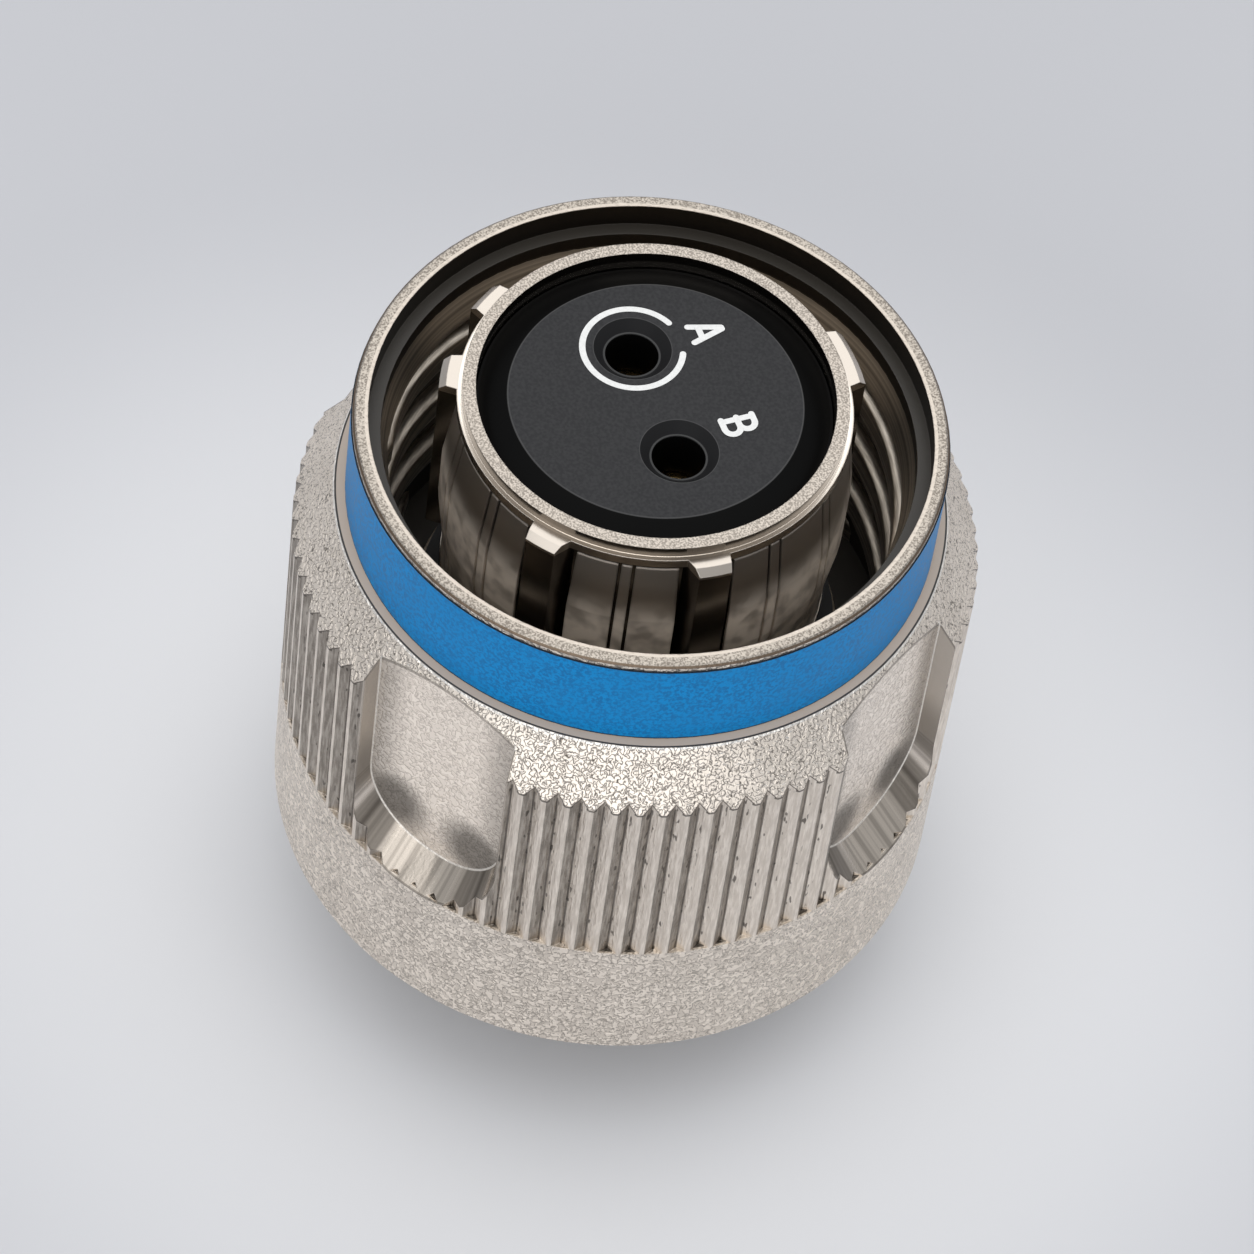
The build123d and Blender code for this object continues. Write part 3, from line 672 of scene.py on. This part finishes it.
def stroke_outline(path, width):
    """Clockwise outline of a stroke of even width with round ends, along a path."""
    points = [Vector(point) for point in path]
    offsets = []
    for number, point in enumerate(points):
        before = points[number] - points[number - 1] if number else None
        after = points[number + 1] - point if number < len(points) - 1 else None
        incoming = (before or after).normalized()
        outgoing = (after or before).normalized()
        along = (incoming + outgoing).normalized()
        reach = width / 2 / max(0.5, along.dot(incoming))
        offsets.append(Vector((-along.y, along.x)) * reach)
    left = [point + offset for point, offset in zip(points, offsets)]
    right = [point - offset for point, offset in zip(points, offsets)]
    return left + round_cap(points[-1], offsets[-1]) + right[::-1] + round_cap(points[0], -offsets[0])


def arc(centre, radius, start, end, steps=24):
    """Points on an arc between two azimuths in degrees."""
    points = []
    for number in range(steps + 1):
        turn = math.radians(start + (end - start) * number / steps)
        points.append((centre[0] + radius * math.cos(turn), centre[1] + radius * math.sin(turn)))
    return points


def make_mark(name, strokes, width, material):
    """Flat print on the insert's face, one thin layer a stroke."""
    vertices, faces = [], []
    for number, path in enumerate(strokes):
        outline = stroke_outline(path, width)
        height = FACE + MARK_RAISE + MARK_LAYER * number
        first = len(vertices)
        vertices += [(point.x, point.y, height) for point in outline]
        faces.append(tuple(reversed(range(first, first + len(outline)))))
    return make_piece(name, vertices, faces, material, "plug", smooth=False)


def make_markings(material):
    """Ring round contact A, and the contact letters A and B."""
    ring = arc((-CAVITY_OFFSET, 0.0), RING_RADIUS, RING_GAP_TO, RING_GAP_FROM + 360, 96)
    make_mark("marking_ring_a", [ring], RING_STROKE, material)
    high = LETTER_HEIGHT / 2
    x, y = LETTER_A_PLACE
    left_leg = [(x - 0.37, y - high), (x - 0.04, y + high)]
    right_leg = [(x + 0.04, y + high), (x + 0.37, y - high)]
    bar = [(x - 0.24, y - 0.4 * high), (x + 0.24, y - 0.4 * high)]
    make_mark("marking_letter_a", [left_leg, right_leg, bar], LETTER_STROKE, material)
    x, y = LETTER_B_PLACE
    spine = [(x - 0.32, y - high), (x - 0.32, y + high)]
    bowls = []
    for side in (1, -1):
        middle, bend = y + side * high / 2, high / 2
        curve = arc((x - 0.04 - 0.05 * side, middle), bend, 90, -90, 12)
        bowls.append([(x - 0.4, middle + bend)] + curve + [(x - 0.4, middle - bend)])
    make_mark("marking_letter_b", [spine] + bowls, LETTER_STROKE, material)


def dress_nodes():
    """Gives every CAD node its material."""
    steel = rolled_metal("spring_steel", STEEL, STEEL_STAINED, 0.3)
    gold = rolled_metal("contact_gold", GOLD, GOLD_STAINED, 0.3)
    copper = rolled_metal("clip_copper", COPPER, COPPER_STAINED, 0.3)
    grey_rubber = rubber("seal_rubber", RUBBER_GREY)
    plastic = insert_plastic()
    dress = {
        "coupling_nut": nickel_nut(),
        "plug_shell": nickel_shell(),
        "grounding_spring": sleeve_metal(),
        "colour_band": band_ink(),
        "front_insulator": plastic,
        "rear_insulator": plastic,
        "shell_seal_ring": grey_rubber,
        "grommet": grey_rubber,
        "contact_a": gold,
        "contact_b": gold,
        "retention_clip_a": copper,
        "retention_clip_b": copper,
    }
    for name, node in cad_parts.items():
        node.data.materials.clear()
        node.data.materials.append(dress.get(name, steel))


def add_softbox(name, azimuth, elevation, width, height, radiance):
    """Even softbox turned to the object, at an azimuth and elevation in degrees."""
    light = bpy.data.lights.new(name, "AREA")
    light.shape = "RECTANGLE"
    light.size = width
    light.size_y = height
    light.energy = radiance * math.pi * width * height
    lamp = bpy.data.objects.new(name, light)
    turn, lift = math.radians(azimuth), math.radians(elevation)
    direction = Vector((math.cos(turn) * math.cos(lift), math.sin(turn) * math.cos(lift), math.sin(lift)))
    lamp.location = direction * SOFTBOX_DISTANCE
    lamp.rotation_euler = direction.to_track_quat("Z", "Y").to_euler()
    bpy.context.scene.collection.objects.link(lamp)


def light_studio():
    """Pale surroundings, a softbox above and behind, a wide low one in front, and a key."""
    world = bpy.data.worlds.new("studio")
    world.use_nodes = True
    background = world.node_tree.nodes["Background"]
    background.inputs["Color"].default_value = (0.96, 0.98, 1.0, 1.0)
    background.inputs["Strength"].default_value = 0.5
    bpy.context.scene.world = world
    front = math.degrees(VIEW_AZIMUTH) - 90
    add_softbox("softbox_top", front + 180, elevation=77, width=0.8, height=0.75, radiance=0.95)
    add_softbox("softbox_front", front, elevation=15, width=0.75, height=0.22, radiance=1.5)
    add_softbox("softbox_key", front - 20, elevation=46, width=0.5, height=0.3, radiance=0.8)


def lay_floor(material):
    """Floor under the plug."""
    half = FLOOR_HALF_WIDTH
    mesh = bpy.data.meshes.new("floor")
    corners = [(-half, -half, 0), (half, -half, 0), (half, half, 0), (-half, half, 0)]
    mesh.from_pydata([Vector(corner) * MM for corner in corners], [], [(0, 1, 2, 3)])
    mesh.materials.append(material)
    floor = bpy.data.objects.new("floor", mesh)
    bpy.context.scene.collection.objects.link(floor)


def place_camera():
    """Camera of the photograph, turned into the row frame."""
    look = Vector((0, math.cos(VIEW_ELEVATION), -math.sin(VIEW_ELEVATION)))
    right = Vector((1, 0, 0))
    up = Vector((0, math.sin(VIEW_ELEVATION), math.cos(VIEW_ELEVATION)))
    spot = -look * VIEW_DISTANCE + right * VIEW_PAN + up * VIEW_RISE
    image_x = right * math.cos(VIEW_ROLL) + up * math.sin(VIEW_ROLL)
    image_y = up * math.cos(VIEW_ROLL) - right * math.sin(VIEW_ROLL)
    turn = Matrix.Rotation(VIEW_AZIMUTH, 3, "Z")
    axes = [turn @ axis for axis in (image_x, image_y, -look)]
    spot = (turn @ spot + Vector((0, 0, MOUTH))) * MM
    camera_data = bpy.data.cameras.new("camera")
    camera_data.sensor_width = SENSOR
    camera_data.lens = FOCAL_PIXELS / IMAGE_PIXELS * SENSOR
    camera_data.clip_start = 0.01
    camera = bpy.data.objects.new("camera", camera_data)
    camera.matrix_world = Matrix.Translation(spot) @ Matrix(axes).transposed().to_4x4()
    bpy.context.scene.collection.objects.link(camera)
    bpy.context.scene.camera = camera


place_camera()
light_studio()
lay_floor(floor_paint())
dress_nodes()
thread_material = thread_metal()
make_coupling_thread(thread_material)
make_lead_in(thread_material)
make_markings(marking_ink())
bpy.context.scene.view_settings.view_transform = "Standard"
